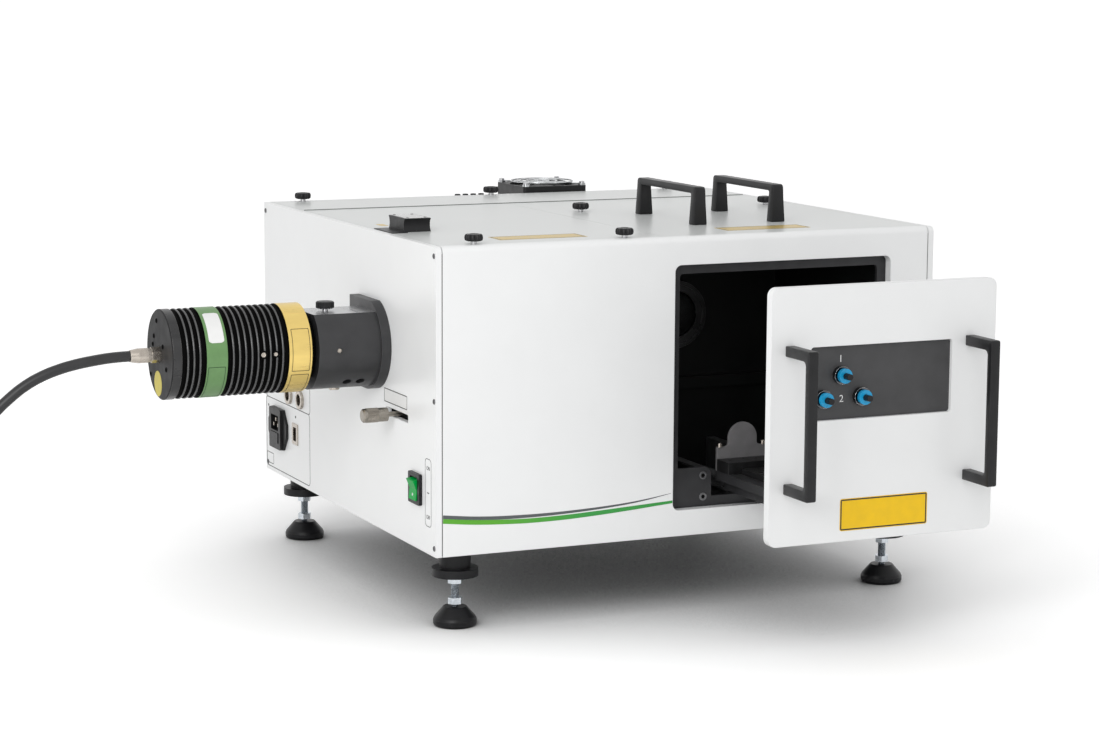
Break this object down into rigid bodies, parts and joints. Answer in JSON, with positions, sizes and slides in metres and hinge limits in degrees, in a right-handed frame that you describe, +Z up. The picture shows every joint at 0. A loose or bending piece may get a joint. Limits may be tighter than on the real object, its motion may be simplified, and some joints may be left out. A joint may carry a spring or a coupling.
{
  "type": "benchtop fluorometer",
  "caption": "Benchtop fluorometer: white optics housing on levelling feet, finned lamp head on its left side and a sample drawer pulled out of its front.",
  "frame": {"origin": "centre of the front left levelling foot's sole, on the bench", "axes": "+X runs right along the front, +Y from the front to the back, +Z up"},
  "size_m": [1.234, 0.845, 0.415],
  "materials": {
    "white_enamel": "white satin powder coat on aluminium plate",
    "mill_aluminium": "milled",
    "black_handles": "fine texture",
    "black_knob": "satin",
    "matt_black": "matt black anodised",
    "dark_anodised": "satin black anodised",
    "zinc_steel": "zinc plated",
    "nickel": "polished nickel",
    "blue_plastic": "moulded",
    "black_anodised": "glossy black anodised",
    "cable_jacket": "satin jacket",
    "plug_shell": "polished",
    "switch_black": "moulded",
    "green_rocker": "translucent green",
    "filter_black": "satin black anodised",
    "perforated_steel": "plain",
    "hub_rubber": "moulded",
    "foot_rubber": "moulded",
    "detector_black": "satin black",
    "fan_plastic": "moulded",
    "chrome_wire": "polished"
  },
  "bodies": {
    "housing": {"base_plate": "mill_aluminium", "left_plate": "white_enamel", "right_plate": "white_enamel", "front_panel": "white_enamel", "rear_panel": "white_enamel", "lid_rails": "mill_aluminium", "chamber_box": "matt_black", "chamber_frame": "dark_anodised", "lens_tube": "matt_black", "slide_channels": "zinc_steel", "lamp_mount": "black_anodised", "lamp_body": "black_anodised", "cable_gland": "nickel", "lamp_cable": "cable_jacket", "cable_coil": "cable_jacket", "cable_plug": "plug_shell", "switch_bezel": "switch_black", "power_inlet": "switch_black", "data_sockets": "nickel", "beam_tube": "matt_black", "monochromator": "matt_black", "power_supply": "perforated_steel", "foot_hubs": "hub_rubber", "detector_housing": "detector_black", "fan_frame": "fan_plastic", "fan_guard": "chrome_wire"},
    "optics_lid": {"optics_lid": "white_enamel"},
    "chamber_lid": {"chamber_lid": "white_enamel", "lid_handles": "black_handles"},
    "rear_cover": {"rear_cover": "white_enamel"},
    "drawer": {"drawer_tray": "dark_anodised", "breadboard": "dark_anodised", "baffle_plate": "dark_anodised", "cuvette_holder": "matt_black", "drawer_door": "white_enamel", "door_handles": "black_handles", "port_panel": "dark_anodised", "port_fittings": "nickel"},
    "slides": {"slide_members": "zinc_steel"},
    "attenuator": {"lever": "nickel", "attenuator": "matt_black"},
    "rocker": {"rocker": "green_rocker"},
    "fuse_drawer": {"fuse_drawer": "switch_black"},
    "filter_holder": {"filter_holder": "filter_black"},
    "fan_rotor": {"fan_rotor": "fan_plastic"},
    "mount_screw": {"mount_screw": "black_knob"},
    "optics_screw_1": {"optics_screw_1": "black_knob"},
    "optics_screw_2": {"optics_screw_2": "black_knob"},
    "chamber_screw_1": {"chamber_screw_1": "black_knob"},
    "chamber_screw_2": {"chamber_screw_2": "black_knob"},
    "rear_screw_1": {"rear_screw_1": "black_knob"},
    "rear_screw_2": {"rear_screw_2": "black_knob"},
    "rear_screw_3": {"rear_screw_3": "black_knob"},
    "release_ring_1": {"release_ring_1": "blue_plastic"},
    "release_ring_2": {"release_ring_2": "blue_plastic"},
    "release_ring_3": {"release_ring_3": "blue_plastic"},
    "foot_1": {"foot_1": "foot_rubber"},
    "foot_2": {"foot_2": "foot_rubber"},
    "foot_3": {"foot_3": "foot_rubber"},
    "foot_4": {"foot_4": "foot_rubber"}
  },
  "joints": [
    {"name": "drawer_slide", "type": "slide", "parent": "housing", "child": "drawer", "axis": [0, 1, 0], "range_m": [0, 0.195]},
    {"name": "slides_travel", "type": "slide", "parent": "housing", "child": "slides", "axis": [0, 1, 0], "range_m": [0, 0.0975]},
    {"name": "optics_lid_lift", "type": "slide", "parent": "housing", "child": "optics_lid", "axis": [0, 0, 1], "range_m": [0, 0.3]},
    {"name": "chamber_lid_lift", "type": "slide", "parent": "housing", "child": "chamber_lid", "axis": [0, 0, 1], "range_m": [0, 0.3]},
    {"name": "rear_cover_lift", "type": "slide", "parent": "housing", "child": "rear_cover", "axis": [0, 0, 1], "range_m": [0, 0.3]},
    {"name": "attenuator_slide", "type": "slide", "parent": "housing", "child": "attenuator", "axis": [0, 1, 0], "range_m": [-0.03, 0.02]},
    {"name": "rocker_tilt", "type": "hinge", "parent": "housing", "child": "rocker", "pos_m": [-0.031, -0.033, 0.13575], "axis": [0, 1, 0], "range_deg": [0, 16]},
    {"name": "fuse_drawer_slide", "type": "slide", "parent": "housing", "child": "fuse_drawer", "axis": [-1, 0, 0], "range_m": [0, 0.03]},
    {"name": "filter_lift", "type": "slide", "parent": "optics_lid", "child": "filter_holder", "axis": [0, 0, 1], "range_m": [0, 0.15]},
    {"name": "fan_spin", "type": "hinge", "parent": "housing", "child": "fan_rotor", "pos_m": [0.325, 0.522, 0.361], "axis": [0, 0, 1], "continuous": true},
    {"name": "mount_screw_turn", "type": "hinge", "parent": "housing", "child": "mount_screw", "pos_m": [-0.086, 0.13, 0.301], "axis": [0, 0, 1], "continuous": true},
    {"name": "optics_screw_1_turn", "type": "hinge", "parent": "optics_lid", "child": "optics_screw_1", "pos_m": [0.013, -0.016, 0.378], "axis": [0, 0, 1], "continuous": true},
    {"name": "optics_screw_2_turn", "type": "hinge", "parent": "optics_lid", "child": "optics_screw_2", "pos_m": [0.173, -0.016, 0.378], "axis": [0, 0, 1], "continuous": true},
    {"name": "chamber_screw_1_turn", "type": "hinge", "parent": "chamber_lid", "child": "chamber_screw_1", "pos_m": [0.248, 0.247, 0.378], "axis": [0, 0, 1], "continuous": true},
    {"name": "chamber_screw_2_turn", "type": "hinge", "parent": "chamber_lid", "child": "chamber_screw_2", "pos_m": [0.474, 0.247, 0.378], "axis": [0, 0, 1], "continuous": true},
    {"name": "rear_screw_1_turn", "type": "hinge", "parent": "rear_cover", "child": "rear_screw_1", "pos_m": [0.011, 0.472, 0.378], "axis": [0, 0, 1], "continuous": true},
    {"name": "rear_screw_2_turn", "type": "hinge", "parent": "rear_cover", "child": "rear_screw_2", "pos_m": [0.239, 0.472, 0.378], "axis": [0, 0, 1], "continuous": true},
    {"name": "rear_screw_3_turn", "type": "hinge", "parent": "rear_cover", "child": "rear_screw_3", "pos_m": [0.462, 0.472, 0.378], "axis": [0, 0, 1], "continuous": true},
    {"name": "release_ring_1_press", "type": "slide", "parent": "drawer", "child": "release_ring_1", "axis": [0, 1, 0], "range_m": [0, 0.0015], "stiffness_N_per_m": 400, "springref_m": -0.002},
    {"name": "release_ring_2_press", "type": "slide", "parent": "drawer", "child": "release_ring_2", "axis": [0, 1, 0], "range_m": [0, 0.0015], "stiffness_N_per_m": 400, "springref_m": -0.002},
    {"name": "release_ring_3_press", "type": "slide", "parent": "drawer", "child": "release_ring_3", "axis": [0, 1, 0], "range_m": [0, 0.0015], "stiffness_N_per_m": 400, "springref_m": -0.002},
    {"name": "foot_1_turn", "type": "hinge", "parent": "housing", "child": "foot_1", "pos_m": [0, 0, 0.036], "axis": [0, 0, 1], "continuous": true},
    {"name": "foot_2_turn", "type": "hinge", "parent": "housing", "child": "foot_2", "pos_m": [0.484, 0, 0.036], "axis": [0, 0, 1], "continuous": true},
    {"name": "foot_3_turn", "type": "hinge", "parent": "housing", "child": "foot_3", "pos_m": [0, 0.444, 0.036], "axis": [0, 0, 1], "continuous": true},
    {"name": "foot_4_turn", "type": "hinge", "parent": "housing", "child": "foot_4", "pos_m": [0.484, 0.444, 0.036], "axis": [0, 0, 1], "continuous": true}
  ],
  "couplings": [
    {"joint": "slides_travel", "follows": "drawer_slide", "ratio": 0.5}
  ]
}
